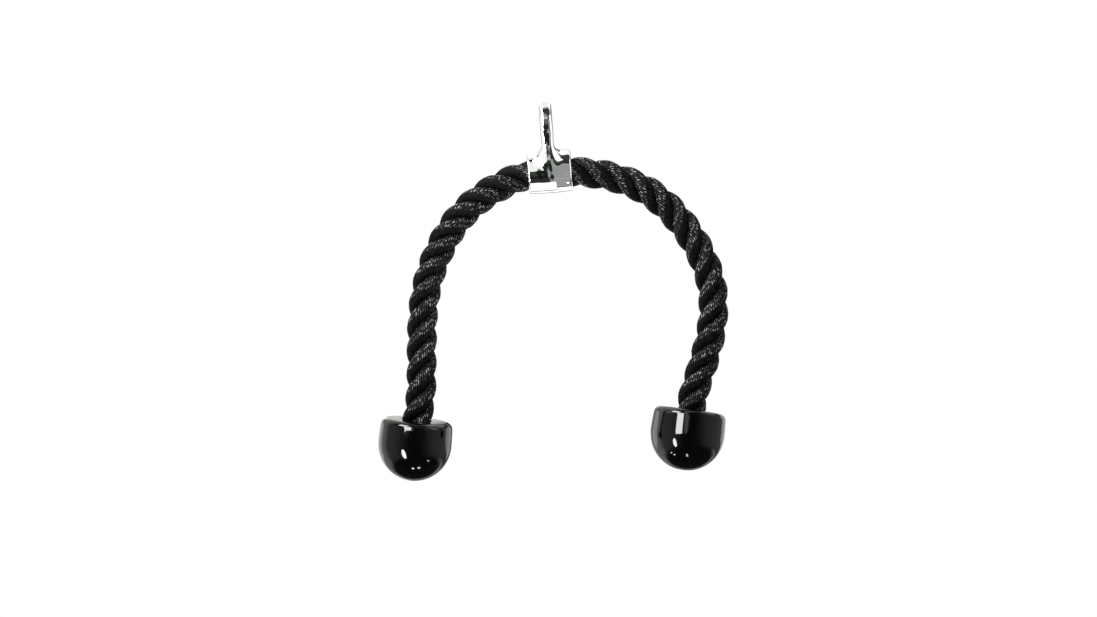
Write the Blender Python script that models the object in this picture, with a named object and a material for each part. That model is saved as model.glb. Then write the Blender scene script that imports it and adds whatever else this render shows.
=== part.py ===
"""Triceps rope attachment: a chromed eye fitting round the middle of a laid rope, with a moulded
stopper on each end of the rope.

Metres, +Z up. X runs along the fitting's sleeve and through the hole of its eye, and the rope
arches in the XZ plane. The origin is the centre of the hole in the eye.
"""

import math
from dataclasses import dataclass

import bmesh
import bpy
import numpy as np
from mathutils import Matrix, Vector

# Clearances and overruns
SEAT_GAP = 0.0003
CUT_OVERRUN = 0.004
JOIN_SINK = 0.002
FILLET_SINK = 0.0003

# Rope
ROPE_DIAMETER = 0.030
ROPE_POINT_STEP = 0.018
ROPE_END_STEP = 0.001
ROPE_BEVEL_RESOLUTION = 4

# Barrel sleeve of the eye fitting
SLEEVE_LENGTH = 0.0435
SLEEVE_WALL = 0.0051
SLEEVE_CROWN = 0.0008
SLEEVE_RIM_ROUNDING = 0.0018
BORE_MOUTH_ROUNDING = 0.0008
BORE_DROP = 0.002

# Eye above the sleeve
EYE_HEIGHT = 0.047
EYE_DIAMETER = 0.044
EYE_HOLE_DIAMETER = 0.022
EYE_THICKNESS = 0.0125
EYE_EDGE_ROUNDING = 0.004

# Neck between the eye and the sleeve
NECK_THICKNESS = 0.0115
NECK_WIDTH = 0.034
NECK_FLANK_FILLET = 0.007
NECK_FRONT_FILLET = 0.014
NECK_EXPONENT = 4.0

# Grub screws at the back of the sleeve
SCREW_DIAMETER = 0.006
SCREW_RECESS = 0.0009
SCREW_SPACING = 0.018
SCREW_CHAMFER = 0.0006
SOCKET_ACROSS_FLATS = 0.003
SOCKET_DEPTH = 0.0025

# Stoppers
STOPPER_DIAMETER = 0.074
STOPPER_SHOULDER_DEPTH = 0.0242
STOPPER_SIDE_RADIUS = 0.200
STOPPER_RIM_ROUNDING = 0.007
STOPPER_MOUTH_ROUNDING = 0.001
STOPPER_NECK_DEPTH = 0.010

# Ferrules on the rope's ends
FERRULE_LENGTH = 0.022
FERRULE_WALL = 0.0027
FERRULE_GROOVE_DEPTH = 0.0008
FERRULE_GROOVE_SHARES = (0.3, 0.7)
FERRULE_GROOVE_WIDTH = 0.004
FERRULE_CHAMFER = 0.0006

# Facets round turned pieces
FINE_STEPS = 56
PLAIN_STEPS = 42
SMALL_STEPS = 28
CORNER_STEPS = 4
DOME_STEPS = 11
NECK_STEPS = 44
SHARP_ANGLE = math.radians(35)

# Route of each leg, from the mouth of the sleeve to the stopper's face, from the middle of the bore
LEFT_ROUTE = (
    (-0.0400, 0.0, -0.0045),
    (-0.0580, 0.0, -0.0120),
    (-0.0750, 0.0, -0.0220),
    (-0.0910, 0.0, -0.0350),
    (-0.1150, 0.0, -0.0670),
    (-0.1310, 0.0, -0.1040),
    (-0.1385, 0.0003, -0.1430),
    (-0.1420, 0.0012, -0.1820),
    (-0.1473, 0.0030, -0.2220),
    (-0.1507, 0.0038, -0.2361),
)
RIGHT_ROUTE = (
    (0.0400, 0.0, -0.0022),
    (0.0590, 0.0, -0.0068),
    (0.0775, 0.0, -0.0140),
    (0.0950, 0.0, -0.0240),
    (0.1235, 0.0, -0.0525),
    (0.1433, 0.0, -0.0870),
    (0.1533, 0.0, -0.1255),
    (0.1504, -0.0003, -0.1645),
    (0.1382, -0.0012, -0.2020),
    (0.1232, -0.0030, -0.2454),
)
LEFT_END_HEADING = (-0.174, 0.056, -0.983)
RIGHT_END_HEADING = (-0.208, -0.044, -0.977)
SPAN_SAMPLES = 40

# Where the rope bends when the legs move, as shares of the free rope between mouth and stopper
HINGE_SHARES = (0.125, 0.375, 0.625, 0.875)
HINGE_NAMES = ("spread", "spread_mid", "sway", "spread_end")
LINK_NAMES = ("rope_top", "rope_upper", "rope_lower", "rope_tail")

# Sizes that follow from the ones above
ROPE_RADIUS = ROPE_DIAMETER / 2
BORE_RADIUS = ROPE_RADIUS + SEAT_GAP
BORE_CENTRE = Vector((0.0, 0.0, -EYE_HEIGHT - BORE_DROP))
SLEEVE_RADIUS = BORE_RADIUS + SLEEVE_WALL + SLEEVE_CROWN
SCREW_LENGTH = SLEEVE_RADIUS - BORE_RADIUS - SCREW_RECESS
STOPPER_RADIUS = STOPPER_DIAMETER / 2
FERRULE_RADIUS = BORE_RADIUS + FERRULE_WALL
ROPE_INSERTION = STOPPER_NECK_DEPTH + SEAT_GAP + FERRULE_LENGTH
STOPPER_POCKET_DEPTH = ROPE_INSERTION + SEAT_GAP


@dataclass
class Leg:
    """One leg of the rope: its line from the middle of the bore to the rope's end."""

    side: str
    points: np.ndarray
    headings: np.ndarray
    reaches: np.ndarray
    mouth: float
    face: float
    end: float

    def point(self, reach):
        """The point this far along the rope from the middle of the bore."""
        return Vector([np.interp(reach, self.reaches, axis) for axis in self.points.T])

    def heading(self, reach):
        """The rope's direction there, away from the sleeve."""
        return Vector(
            [np.interp(reach, self.reaches, axis) for axis in self.headings.T]
        ).normalized()

    def hinges(self):
        """How far along the rope each of its bends lies."""
        free = self.face - self.mouth
        return [self.mouth + share * free for share in HINGE_SHARES]


def clear_scene():
    """Removes every object of the startup scene."""
    for thing in list(bpy.data.objects):
        bpy.data.objects.remove(thing, do_unlink=True)


def make_material(name, colour, metallic, roughness, coat=0.0):
    """A material with one Principled BSDF."""
    made = bpy.data.materials.new(name)
    made.use_nodes = True
    shader = made.node_tree.nodes["Principled BSDF"]
    shader.inputs["Base Color"].default_value = (*colour, 1.0)
    shader.inputs["Metallic"].default_value = metallic
    shader.inputs["Roughness"].default_value = roughness
    shader.inputs["Coat Weight"].default_value = coat
    made.diffuse_color = (*colour, 1.0)
    return made


def add_object(name, data, finish=None, parent=None):
    """Links a new object with this mesh or curve, under its parent."""
    made = bpy.data.objects.new(name, data)
    bpy.context.scene.collection.objects.link(made)
    if finish is not None:
        data.materials.append(finish)
    made.parent = parent
    return made


def finish_mesh(bm, name):
    """The bmesh as a mesh with its faces outwards, shaded smooth but for its sharp edges."""
    bmesh.ops.recalc_face_normals(bm, faces=bm.faces)
    mesh = bpy.data.meshes.new(name)
    bm.to_mesh(mesh)
    bm.free()
    mesh.shade_smooth()
    mesh.set_sharp_from_angle(angle=SHARP_ANGLE)
    return mesh


def arc(centre, radius, start, stop, steps):
    """Points of an arc in the (radius, height) plane, from one angle to another, in degrees."""
    angles = [math.radians(start + (stop - start) * i / steps) for i in range(steps + 1)]
    return [
        (centre[0] + radius * math.cos(a), centre[1] + radius * math.sin(a)) for a in angles
    ]


def turned_mesh(name, outline, steps, closed=True):
    """Turns an outline of (radius, height) points about Z. An open one starts and ends on the axis."""
    bm = bmesh.new()
    corners = [bm.verts.new((radius, 0.0, height)) for radius, height in outline]
    pairs = list(zip(corners, corners[1:]))
    if closed:
        pairs.append((corners[-1], corners[0]))
    edges = [bm.edges.new(pair) for pair in pairs]
    bmesh.ops.spin(
        bm,
        geom=corners + edges,
        cent=(0.0, 0.0, 0.0),
        axis=(0.0, 0.0, 1.0),
        angle=math.tau,
        steps=steps,
        use_merge=True,
    )
    if not closed:
        poles = [v for v in bm.verts if math.hypot(v.co.x, v.co.y) < SEAT_GAP]
        bmesh.ops.remove_doubles(bm, verts=poles, dist=SEAT_GAP)
    return finish_mesh(bm, name)


def add_boolean(target, other, operation):
    """Joins or cuts the target with a hidden helper."""
    other.hide_render = True
    other.display_type = "WIRE"
    modifier = target.modifiers.new(other.name, "BOOLEAN")
    modifier.operation = operation
    modifier.object = other
    modifier.solver = "EXACT"


def turn_to(direction):
    """The rotation that carries +Z to a direction."""
    return Vector(direction).to_track_quat("Z", "Y").to_matrix().to_4x4()


def sleeve_radius(place):
    """The barrel's radius this far along from its middle, on a shallow crown."""
    return SLEEVE_RADIUS - SLEEVE_CROWN * (place / (SLEEVE_LENGTH / 2)) ** 2


def sleeve_outline():
    """The solid barrel's outline, from axis to axis, bulging between its rounded rims."""
    half = SLEEVE_LENGTH / 2
    rim = SLEEVE_RIM_ROUNDING
    flat = half - rim
    heights = [flat * i / CORNER_STEPS for i in range(-CORNER_STEPS, CORNER_STEPS + 1)]
    side = [(sleeve_radius(height), height) for height in heights]
    edge = side[0][0]
    low = arc((edge - rim, -flat), rim, -90, 0, CORNER_STEPS)[:-1]
    high = arc((edge - rim, flat), rim, 0, 90, CORNER_STEPS)[1:]
    return [(0.0, -half)] + low + side + high + [(0.0, half)]


def bore_cutter_outline():
    """The bore through the sleeve, flared at both mouths."""
    half = SLEEVE_LENGTH / 2
    flare = BORE_MOUTH_ROUNDING
    past = half + CUT_OVERRUN
    wide = BORE_RADIUS + flare
    low = arc((wide, -half + flare), flare, 180, 270, CORNER_STEPS)
    high = arc((wide, half - flare), flare, 90, 180, CORNER_STEPS)
    return [(0.0, -past), (wide, -past)] + low[::-1] + high[::-1] + [(wide, past), (0.0, past)]


def eye_ring_outline():
    """The section of the eye's ring: a rectangle with rounded corners."""
    outer = EYE_DIAMETER / 2 - EYE_EDGE_ROUNDING
    inner = EYE_HOLE_DIAMETER / 2 + EYE_EDGE_ROUNDING
    side = EYE_THICKNESS / 2 - EYE_EDGE_ROUNDING
    corners = ((outer, side, 0), (inner, side, 90), (inner, -side, 180), (outer, -side, 270))
    outline = []
    for radius, height, start in corners:
        outline += arc((radius, height), EYE_EDGE_ROUNDING, start, start + 90, CORNER_STEPS)
    return outline


def squared(value):
    """A cosine or sine drawn out, so that a circle becomes a rectangle with rounded corners."""
    return math.copysign(abs(value) ** (2 / NECK_EXPONENT), value)


def neck_foot(cosine, sine, turn, sink):
    """A point of the neck's fillet on the barrel, for a turn from 0 at its top to a right angle."""
    fillet = NECK_FLANK_FILLET * cosine**2 + NECK_FRONT_FILLET * sine**2
    out = fillet * (1 - math.cos(turn))
    rise = fillet * (1 - math.sin(turn)) - sink
    x = (NECK_THICKNESS / 2 + out) * squared(cosine)
    radius = sleeve_radius(x)
    across = NECK_WIDTH / 2 * squared(sine)
    angle = math.asin(across / (radius + fillet)) + out * squared(sine) / radius
    return x, (radius + rise) * math.sin(angle), (radius + rise) * math.cos(angle)


def neck_mesh():
    """The neck, a squared oval that flares onto the barrel with a fillet wrapped round it."""
    bm = bmesh.new()
    rings = []

    def add_ring(point_at):
        angles = [math.tau * i / NECK_STEPS for i in range(NECK_STEPS)]
        rings.append([bm.verts.new(point_at(math.cos(a), math.sin(a))) for a in angles])

    # The neck's flat top ends inside the eye's ring, short of the hole.
    ring_middle = (EYE_DIAMETER + EYE_HOLE_DIAMETER) / 4
    top = EYE_HEIGHT - math.sqrt(ring_middle**2 - (NECK_WIDTH / 4) ** 2)
    half_sizes = (NECK_THICKNESS / 2, NECK_WIDTH / 2)
    add_ring(lambda c, s: (half_sizes[0] * squared(c), half_sizes[1] * squared(s), top))
    for step in range(2 * CORNER_STEPS + 1):
        turn = math.pi / 2 * step / (2 * CORNER_STEPS)
        add_ring(lambda c, s, turn=turn: neck_foot(c, s, turn, FILLET_SINK))
    add_ring(lambda c, s: neck_foot(c, s, math.pi / 2, JOIN_SINK))
    for ring, following in zip(rings, rings[1:]):
        for i in range(NECK_STEPS):
            j = (i + 1) % NECK_STEPS
            bm.faces.new((ring[i], ring[j], following[j], following[i]))
    bm.faces.new(rings[0])
    middle = bm.verts.new((0.0, 0.0, SLEEVE_RADIUS - 2 * JOIN_SINK))
    for i in range(NECK_STEPS):
        bm.faces.new((rings[-1][i], rings[-1][(i + 1) % NECK_STEPS], middle))
    return finish_mesh(bm, "neck")


def screw_places():
    """The centre of each grub screw's tip, on the back of the bore."""
    return {
        side: BORE_CENTRE + Vector((sign * SCREW_SPACING / 2, BORE_RADIUS, 0.0))
        for side, sign in (("left", -1), ("right", 1))
    }


def build_eye_fitting(finish):
    """The chromed casting: barrel, neck and eye in one, bored for the rope and the screws."""
    along_x = Matrix.Rotation(math.pi / 2, 4, "Y")
    sleeve_place = Matrix.Translation((0.0, 0.0, -EYE_HEIGHT))
    barrel = turned_mesh("eye_fitting", sleeve_outline(), FINE_STEPS, closed=False)
    barrel.transform(sleeve_place @ along_x)
    fitting = add_object("eye_fitting", barrel, finish)
    neck = add_object("neck_shape", neck_mesh())
    neck.matrix_world = sleeve_place
    add_boolean(fitting, neck, "UNION")
    ring = add_object("eye_shape", turned_mesh("eye_shape", eye_ring_outline(), FINE_STEPS))
    ring.matrix_world = along_x
    add_boolean(fitting, ring, "UNION")
    bore_mesh = turned_mesh("bore_cut", bore_cutter_outline(), FINE_STEPS, closed=False)
    bore = add_object("bore_cut", bore_mesh)
    bore.matrix_world = Matrix.Translation(BORE_CENTRE) @ along_x
    add_boolean(fitting, bore, "DIFFERENCE")
    hole_radius = SCREW_DIAMETER / 2 + SEAT_GAP
    depth = SLEEVE_RADIUS - BORE_RADIUS + CUT_OVERRUN
    outline = [
        (0.0, -CUT_OVERRUN),
        (hole_radius, -CUT_OVERRUN),
        (hole_radius, depth),
        (0.0, depth),
    ]
    for side, place in screw_places().items():
        name = f"screw_hole_{side}_cut"
        hole = add_object(name, turned_mesh(name, outline, SMALL_STEPS, closed=False))
        hole.matrix_world = Matrix.Translation(place) @ turn_to((0, 1, 0))
        add_boolean(fitting, hole, "DIFFERENCE")


def build_grub_screws(finish):
    """Two cup-pointed grub screws with hexagon sockets, which bite into the rope."""
    radius = SCREW_DIAMETER / 2
    edge = radius - SCREW_CHAMFER
    outline = [
        (0.0, 0.0),
        (edge, 0.0),
        (radius, SCREW_CHAMFER),
        (radius, SCREW_LENGTH - SCREW_CHAMFER),
        (edge, SCREW_LENGTH),
        (0.0, SCREW_LENGTH),
    ]
    socket_radius = SOCKET_ACROSS_FLATS / math.sqrt(3)
    top = SCREW_LENGTH + CUT_OVERRUN
    for side, place in screw_places().items():
        name = f"grub_screw_{side}"
        screw = add_object(name, turned_mesh(name, outline, SMALL_STEPS, closed=False), finish)
        screw.matrix_world = Matrix.Translation(place) @ turn_to((0, 1, 0))
        bm = bmesh.new()
        bmesh.ops.create_cone(
            bm,
            cap_ends=True,
            segments=6,
            radius1=socket_radius,
            radius2=socket_radius,
            depth=SOCKET_DEPTH + CUT_OVERRUN,
        )
        middle = top - (SOCKET_DEPTH + CUT_OVERRUN) / 2
        bmesh.ops.translate(bm, verts=bm.verts, vec=(0.0, 0.0, middle))
        socket = add_object(f"socket_{side}_cut", finish_mesh(bm, f"socket_{side}_cut"))
        socket.matrix_world = screw.matrix_world
        add_boolean(screw, socket, "DIFFERENCE")


def clamped_spline(points, first_heading, last_heading):
    """Points and headings along the cubic spline through the points, with the end headings given."""
    knots = np.array(points, float)
    spans = np.linalg.norm(np.diff(knots, axis=0), axis=1)
    count = len(knots)
    system = np.zeros((count, count))
    wanted = np.zeros((count, 3))
    system[0, 0] = system[-1, -1] = 1
    wanted[0] = np.array(first_heading) / np.linalg.norm(first_heading)
    wanted[-1] = np.array(last_heading) / np.linalg.norm(last_heading)
    for i in range(1, count - 1):
        before, after = spans[i - 1], spans[i]
        system[i, i - 1 : i + 2] = after, 2 * (before + after), before
        rise = after / before * (knots[i] - knots[i - 1])
        wanted[i] = 3 * (rise + before / after * (knots[i + 1] - knots[i]))
    slopes = np.linalg.solve(system, wanted)
    line, headings = [], []
    for i in range(count - 1):
        last = i == count - 2
        t = np.linspace(0, 1, SPAN_SAMPLES, endpoint=last)[:, None]
        run = spans[i]
        line.append(
            (2 * t**3 - 3 * t**2 + 1) * knots[i]
            + (t**3 - 2 * t**2 + t) * run * slopes[i]
            + (3 * t**2 - 2 * t**3) * knots[i + 1]
            + (t**3 - t**2) * run * slopes[i + 1]
        )
        headings.append(
            (6 * t**2 - 6 * t) / run * (knots[i] - knots[i + 1])
            + (3 * t**2 - 4 * t + 1) * slopes[i]
            + (3 * t**2 - 2 * t) * slopes[i + 1]
        )
    headings = np.vstack(headings)
    return np.vstack(line), headings / np.linalg.norm(headings, axis=1)[:, None]


def make_leg(side, route, end_heading):
    """The leg's line: straight in the bore, along its route, and straight into its stopper."""
    out = np.array([math.copysign(1, route[0][0]), 0.0, 0.0])
    mouth = SLEEVE_LENGTH / 2
    line, headings = clamped_spline([out * mouth, *route], out, end_heading)
    line = np.vstack([[0.0, 0.0, 0.0], line, line[-1] + headings[-1] * ROPE_INSERTION])
    headings = np.vstack([out, headings, headings[-1]])
    reaches = np.r_[0, np.cumsum(np.linalg.norm(np.diff(line, axis=0), axis=1))]
    return Leg(
        side,
        line + np.array(BORE_CENTRE),
        headings,
        reaches,
        mouth,
        reaches[-2],
        reaches[-1],
    )


def spaced_reaches(start, stop, kept=()):
    """Distances for a tube's points: its square ends, the kept ones, and even steps between them."""
    marks = sorted([start, start + ROPE_END_STEP, *kept, stop - ROPE_END_STEP, stop])
    reaches = []
    for low, high in zip(marks, marks[1:]):
        steps = max(1, round((high - low) / ROPE_POINT_STEP))
        reaches += [low + (high - low) * i / steps for i in range(steps)]
    return reaches + [stop]


def add_rope_tube(name, points, finish, origin, parent=None):
    """A plain tube of the rope's diameter through the points, with its origin on its hinge."""
    curve = bpy.data.curves.new(name, "CURVE")
    curve.dimensions = "3D"
    curve.bevel_depth = ROPE_RADIUS
    curve.bevel_resolution = ROPE_BEVEL_RESOLUTION
    curve.use_fill_caps = True
    spline = curve.splines.new("POLY")
    spline.points.add(len(points) - 1)
    for place, point in zip(spline.points, points):
        place.co = (*(point - origin), 1.0)
    tube = add_object(name, curve, finish, parent)
    if parent is None:
        tube.location = origin


def add_hinge(name, place, parent, parent_place):
    """An empty on a hinge's axis, which carries what turns with it."""
    hinge = bpy.data.objects.new(name, None)
    bpy.context.scene.collection.objects.link(hinge)
    hinge.empty_display_size = ROPE_DIAMETER
    hinge.parent = parent
    hinge.location = place - parent_place
    return hinge


def build_rope_middle(legs, finish):
    """The rope inside the sleeve and out to the first bend on either side."""
    sides = []
    for leg in legs:
        reaches = spaced_reaches(leg.mouth, leg.hinges()[0] - SEAT_GAP / 2)
        sides.append([leg.point(reach) for reach in reaches])
    points = [*reversed(sides[0]), BORE_CENTRE, *sides[1]]
    add_rope_tube("rope_middle", points, finish, BORE_CENTRE)


def stopper_outline():
    """The bell's outline from its pocket, over its flat face and round its side, to its lowest point."""
    shoulder = STOPPER_SHOULDER_DEPTH
    corner = STOPPER_RIM_ROUNDING
    side_radius = STOPPER_SIDE_RADIUS
    side_centre = STOPPER_RADIUS - side_radius
    reach = side_radius - corner
    across = math.sqrt(reach**2 - (shoulder - corner) ** 2)
    tangent = math.degrees(math.atan2(shoulder - corner, across))
    mouth = STOPPER_MOUTH_ROUNDING
    pocket = FERRULE_RADIUS + SEAT_GAP
    inside = [
        (0.0, -STOPPER_POCKET_DEPTH),
        (pocket, -STOPPER_POCKET_DEPTH),
        (pocket, -STOPPER_NECK_DEPTH),
        (BORE_RADIUS, -STOPPER_NECK_DEPTH),
    ]
    inside += arc((BORE_RADIUS + mouth, -mouth), mouth, 180, 90, CORNER_STEPS)
    rim = arc((side_centre + across, -corner), corner, 90, tangent, CORNER_STEPS + 1)
    side = arc((side_centre, -shoulder), side_radius, tangent, 0, CORNER_STEPS + 1)
    dome = arc((0.0, -shoulder), STOPPER_RADIUS, 0, -90, DOME_STEPS)
    dome[-1] = (0.0, dome[-1][1])
    return inside + rim + side[1:] + dome[1:]


def ferrule_outline():
    """The crimped ring's section, with the grooves that the crimping tool leaves."""
    inner = BORE_RADIUS
    outer = FERRULE_RADIUS
    chamfer = FERRULE_CHAMFER
    half = FERRULE_GROOVE_WIDTH / 2
    outline = [(inner, 0.0), (outer - chamfer, 0.0), (outer, -chamfer)]
    for share in FERRULE_GROOVE_SHARES:
        middle = -share * FERRULE_LENGTH
        outline += [
            (outer, middle + half),
            (outer - FERRULE_GROOVE_DEPTH, middle + half / 2),
            (outer - FERRULE_GROOVE_DEPTH, middle - half / 2),
            (outer, middle - half),
        ]
    outline += [
        (outer, chamfer - FERRULE_LENGTH),
        (outer - chamfer, -FERRULE_LENGTH),
        (inner, -FERRULE_LENGTH),
    ]
    return outline


def build_leg(leg, stopper_mesh, ferrule_mesh, rope_finish):
    """The leg's rope links on their hinges, with the ferrule and the stopper on its end."""
    hinges = leg.hinges()
    parent, parent_place = None, Vector((0.0, 0.0, 0.0))
    for i, link in enumerate(LINK_NAMES):
        place = leg.point(hinges[i])
        hinge = add_hinge(f"{leg.side}_{HINGE_NAMES[i]}", place, parent, parent_place)
        start = hinges[i] + SEAT_GAP / 2
        last = i == len(LINK_NAMES) - 1
        stop = leg.end if last else hinges[i + 1] - SEAT_GAP / 2
        reaches = spaced_reaches(start, stop, [leg.face] if last else ())
        points = [leg.point(reach) for reach in reaches]
        add_rope_tube(f"{leg.side}_{link}", points, rope_finish, place, hinge)
        parent, parent_place = hinge, place
    up = -leg.heading(leg.face)
    face = Matrix.Translation(leg.point(leg.face) - parent_place) @ turn_to(up)
    stopper = add_object(f"{leg.side}_stopper", stopper_mesh, None, parent)
    stopper.matrix_local = face
    ferrule = add_object(f"{leg.side}_ferrule", ferrule_mesh, None, parent)
    drop = Matrix.Translation((0.0, 0.0, -STOPPER_NECK_DEPTH - SEAT_GAP))
    ferrule.matrix_local = face @ drop


def main():
    clear_scene()
    chrome = make_material("chrome", (0.86, 0.87, 0.88), 1.0, 0.06)
    black_steel = make_material("black_steel", (0.06, 0.06, 0.065), 0.9, 0.4)
    zinc_steel = make_material("zinc_steel", (0.62, 0.62, 0.6), 1.0, 0.35)
    rope_black = make_material("rope_black", (0.025, 0.025, 0.027), 0.0, 0.65)
    gloss_black = make_material("gloss_black", (0.012, 0.012, 0.013), 0.0, 0.12, 0.4)
    build_eye_fitting(chrome)
    build_grub_screws(black_steel)
    legs = [
        make_leg("left", LEFT_ROUTE, LEFT_END_HEADING),
        make_leg("right", RIGHT_ROUTE, RIGHT_END_HEADING),
    ]
    build_rope_middle(legs, rope_black)
    stopper_mesh = turned_mesh("stopper", stopper_outline(), PLAIN_STEPS, closed=False)
    stopper_mesh.materials.append(gloss_black)
    ferrule_mesh = turned_mesh("ferrule", ferrule_outline(), SMALL_STEPS)
    ferrule_mesh.materials.append(zinc_steel)
    for leg in legs:
        build_leg(leg, stopper_mesh, ferrule_mesh, rope_black)
        print(f"{leg.side} leg: {leg.end:.4f} m of rope from the middle of the bore")


main()
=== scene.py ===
"""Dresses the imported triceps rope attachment: laid rope, chromed eye fitting and moulded stoppers.

Metres, +Z up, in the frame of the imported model. The origin is the centre of the hole in the eye,
X runs along the sleeve, and the rope arches in the XZ plane. The camera looks along +Y.
"""

import sys
import logging
import math
from dataclasses import dataclass, field
from enum import Enum
from typing import Any

import bmesh
import bpy
import numpy as np
from mathutils import Matrix, Vector


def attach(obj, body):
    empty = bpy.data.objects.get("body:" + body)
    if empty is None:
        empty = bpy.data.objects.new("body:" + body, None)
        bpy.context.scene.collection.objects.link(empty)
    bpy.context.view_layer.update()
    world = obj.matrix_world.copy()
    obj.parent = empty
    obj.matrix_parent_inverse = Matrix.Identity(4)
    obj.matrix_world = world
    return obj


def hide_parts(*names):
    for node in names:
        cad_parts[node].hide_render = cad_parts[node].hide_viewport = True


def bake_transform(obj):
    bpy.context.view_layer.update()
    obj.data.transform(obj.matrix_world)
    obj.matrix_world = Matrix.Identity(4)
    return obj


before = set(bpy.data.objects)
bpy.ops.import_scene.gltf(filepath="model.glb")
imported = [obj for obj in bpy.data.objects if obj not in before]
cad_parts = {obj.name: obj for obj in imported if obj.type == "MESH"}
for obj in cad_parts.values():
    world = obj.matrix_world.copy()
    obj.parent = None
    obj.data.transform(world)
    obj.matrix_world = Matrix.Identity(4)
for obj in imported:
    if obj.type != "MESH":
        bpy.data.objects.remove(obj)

LOG = logging.getLogger("triceps_rope")
MM = 0.001
Array = np.ndarray
Colour = tuple[float, float, float]
Place = tuple[float, float, float]


class Side(Enum):
    """The two legs of the rope, as seen by the camera."""

    LEFT = "left"
    RIGHT = "right"


class Lay(Enum):
    HANGING = "hanging"


class LampKind(Enum):
    """The shapes of the studio's area lamps."""

    SOFTBOX = "RECTANGLE"
    ROUND = "ELLIPSE"


class LampUse(Enum):
    """Whether a lamp shines on things, and whether gloss and metal mirror it."""

    BOTH = (True, True)
    SHINES = (True, False)
    MIRRORED = (False, True)


# ---- Meshes ----


def smoothstep(value: Array, low: float, high: float) -> Array:
    """An S-shaped rise from 0 at low to 1 at high."""
    share = np.clip((value - low) / (high - low), 0.0, 1.0)
    return share * share * (3.0 - 2.0 * share)


def unit(vectors: Array) -> Array:
    """The vectors at length 1."""
    return vectors / np.linalg.norm(vectors, axis=-1, keepdims=True)


def add_piece(name: str, mesh: bpy.types.Mesh, finish: bpy.types.Material) -> bpy.types.Object:
    """Links a new object with this mesh and finish.

    Args:
        name: The piece's name.
        mesh: Its mesh, in metres in the frame of the model.
        finish: Its material.

    Returns:
        The new object.
    """
    mesh.materials.clear()
    mesh.materials.append(finish)
    piece = bpy.data.objects.new(name, mesh)
    bpy.context.scene.collection.objects.link(piece)
    return piece


def packed_node(name: str) -> bpy.types.Object:
    """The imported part's own object of this name."""
    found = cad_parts[name]
    return found if isinstance(found, bpy.types.Object) else bpy.data.objects[name]


def hermite(t: Any, first: Any, first_slope: Any, second: Any, second_slope: Any) -> Any:
    """The cubic that leaves one value and reaches another with given slopes.

    Args:
        t: The share of the way between them.
        first: The value at 0.
        first_slope: The slope at 0, over the whole way.
        second: The value at 1.
        second_slope: The slope at 1, over the whole way.

    Returns:
        The value at t.
    """
    return (
        (2 * t**3 - 3 * t**2 + 1) * first
        + (t**3 - 2 * t**2 + t) * first_slope
        + (3 * t**2 - 2 * t**3) * second
        + (t**3 - t**2) * second_slope
    )


def arc(
    centre: tuple[float, float], radius: float, start: float, stop: float, steps: int
) -> list[tuple[float, float]]:
    """Points of an arc in the (radius, height) plane.

    Args:
        centre: The arc's centre.
        radius: Its radius.
        start: The first point's angle, in degrees.
        stop: The last point's angle, in degrees.
        steps: How many steps there are between them.

    Returns:
        The points, both ends among them.
    """
    angles = np.radians(np.linspace(start, stop, steps + 1))
    return [(centre[0] + radius * math.cos(a), centre[1] + radius * math.sin(a)) for a in angles]


# ---- Shader nodes ----


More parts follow.
